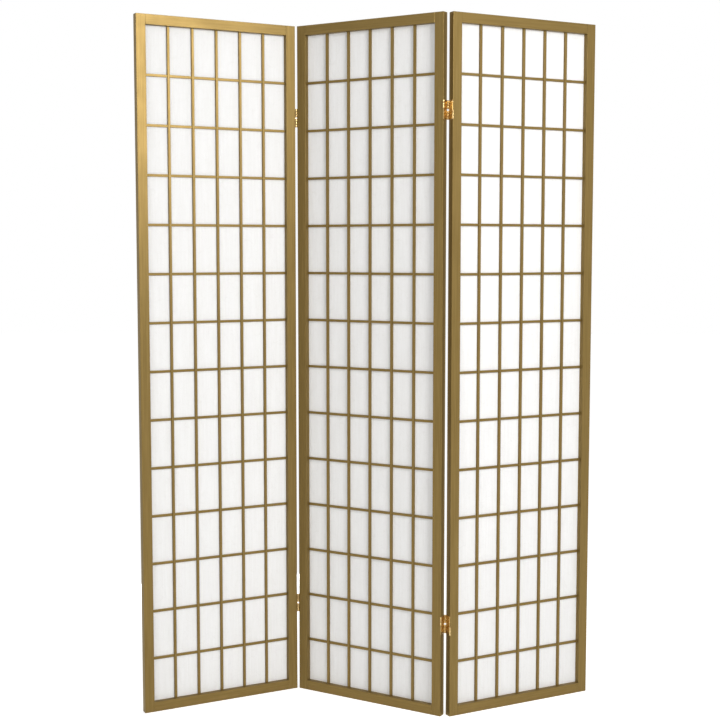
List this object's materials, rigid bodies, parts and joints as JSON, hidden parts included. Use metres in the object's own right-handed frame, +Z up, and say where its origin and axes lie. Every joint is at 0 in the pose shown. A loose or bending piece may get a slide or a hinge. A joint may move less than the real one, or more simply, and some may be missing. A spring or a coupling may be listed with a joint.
{
  "type": "folding screen",
  "caption": "Folding shoji screen: gold-painted wooden frames with a bar lattice over white paper, joined by two-way brass hinges and standing half folded.",
  "frame": {"origin": "on the floor, at the middle of the middle panel, which is the centre of the screen's plan", "axes": "+Z up; the fronts of the panels face -Y, +X runs to the right as seen from the front"},
  "size_m": [1.1748, 0.2378, 1.7844],
  "materials": {
    "gold_painted_wood": "satin metallic gold paint over fine-grained softwood",
    "shoji_paper": "matt translucent white paper with fine fibres",
    "brass": "polished brass plate"
  },
  "bodies": {
    "left_panel": {"left_left_stile": "gold_painted_wood", "left_right_stile": "gold_painted_wood", "left_bottom_rail": "gold_painted_wood", "left_top_rail": "gold_painted_wood", "left_upright_bars": "gold_painted_wood", "left_cross_bars": "gold_painted_wood", "left_paper_sheet": "shoji_paper", "left_rear_beads": "gold_painted_wood", "left_lower_hinge_left_leaf": "brass", "left_lower_hinge_lower_link": "brass", "left_upper_hinge_left_leaf": "brass", "left_upper_hinge_lower_link": "brass"},
    "middle_panel": {"middle_left_stile": "gold_painted_wood", "middle_right_stile": "gold_painted_wood", "middle_bottom_rail": "gold_painted_wood", "middle_top_rail": "gold_painted_wood", "middle_upright_bars": "gold_painted_wood", "middle_cross_bars": "gold_painted_wood", "middle_paper_sheet": "shoji_paper", "middle_rear_beads": "gold_painted_wood", "left_lower_hinge_right_leaf": "brass", "left_lower_hinge_upper_link": "brass", "right_lower_hinge_left_leaf": "brass", "right_lower_hinge_upper_link": "brass", "left_upper_hinge_right_leaf": "brass", "left_upper_hinge_upper_link": "brass", "right_upper_hinge_left_leaf": "brass", "right_upper_hinge_upper_link": "brass"},
    "right_panel": {"right_left_stile": "gold_painted_wood", "right_right_stile": "gold_painted_wood", "right_bottom_rail": "gold_painted_wood", "right_top_rail": "gold_painted_wood", "right_upright_bars": "gold_painted_wood", "right_cross_bars": "gold_painted_wood", "right_paper_sheet": "shoji_paper", "right_rear_beads": "gold_painted_wood", "right_lower_hinge_right_leaf": "brass", "right_lower_hinge_lower_link": "brass", "right_upper_hinge_right_leaf": "brass", "right_upper_hinge_lower_link": "brass"}
  },
  "joints": [
    {"name": "left_fold", "type": "hinge", "parent": "middle_panel", "child": "left_panel", "pos_m": [-0.19679, 0.09566, 0.239], "axis": [0, 0, 1], "range_deg": [-58.15, 121.85]},
    {"name": "right_fold", "type": "hinge", "parent": "middle_panel", "child": "right_panel", "pos_m": [0.19679, -0.09566, 0.239], "axis": [0, 0, 1], "range_deg": [-58.15, 121.85]}
  ]
}
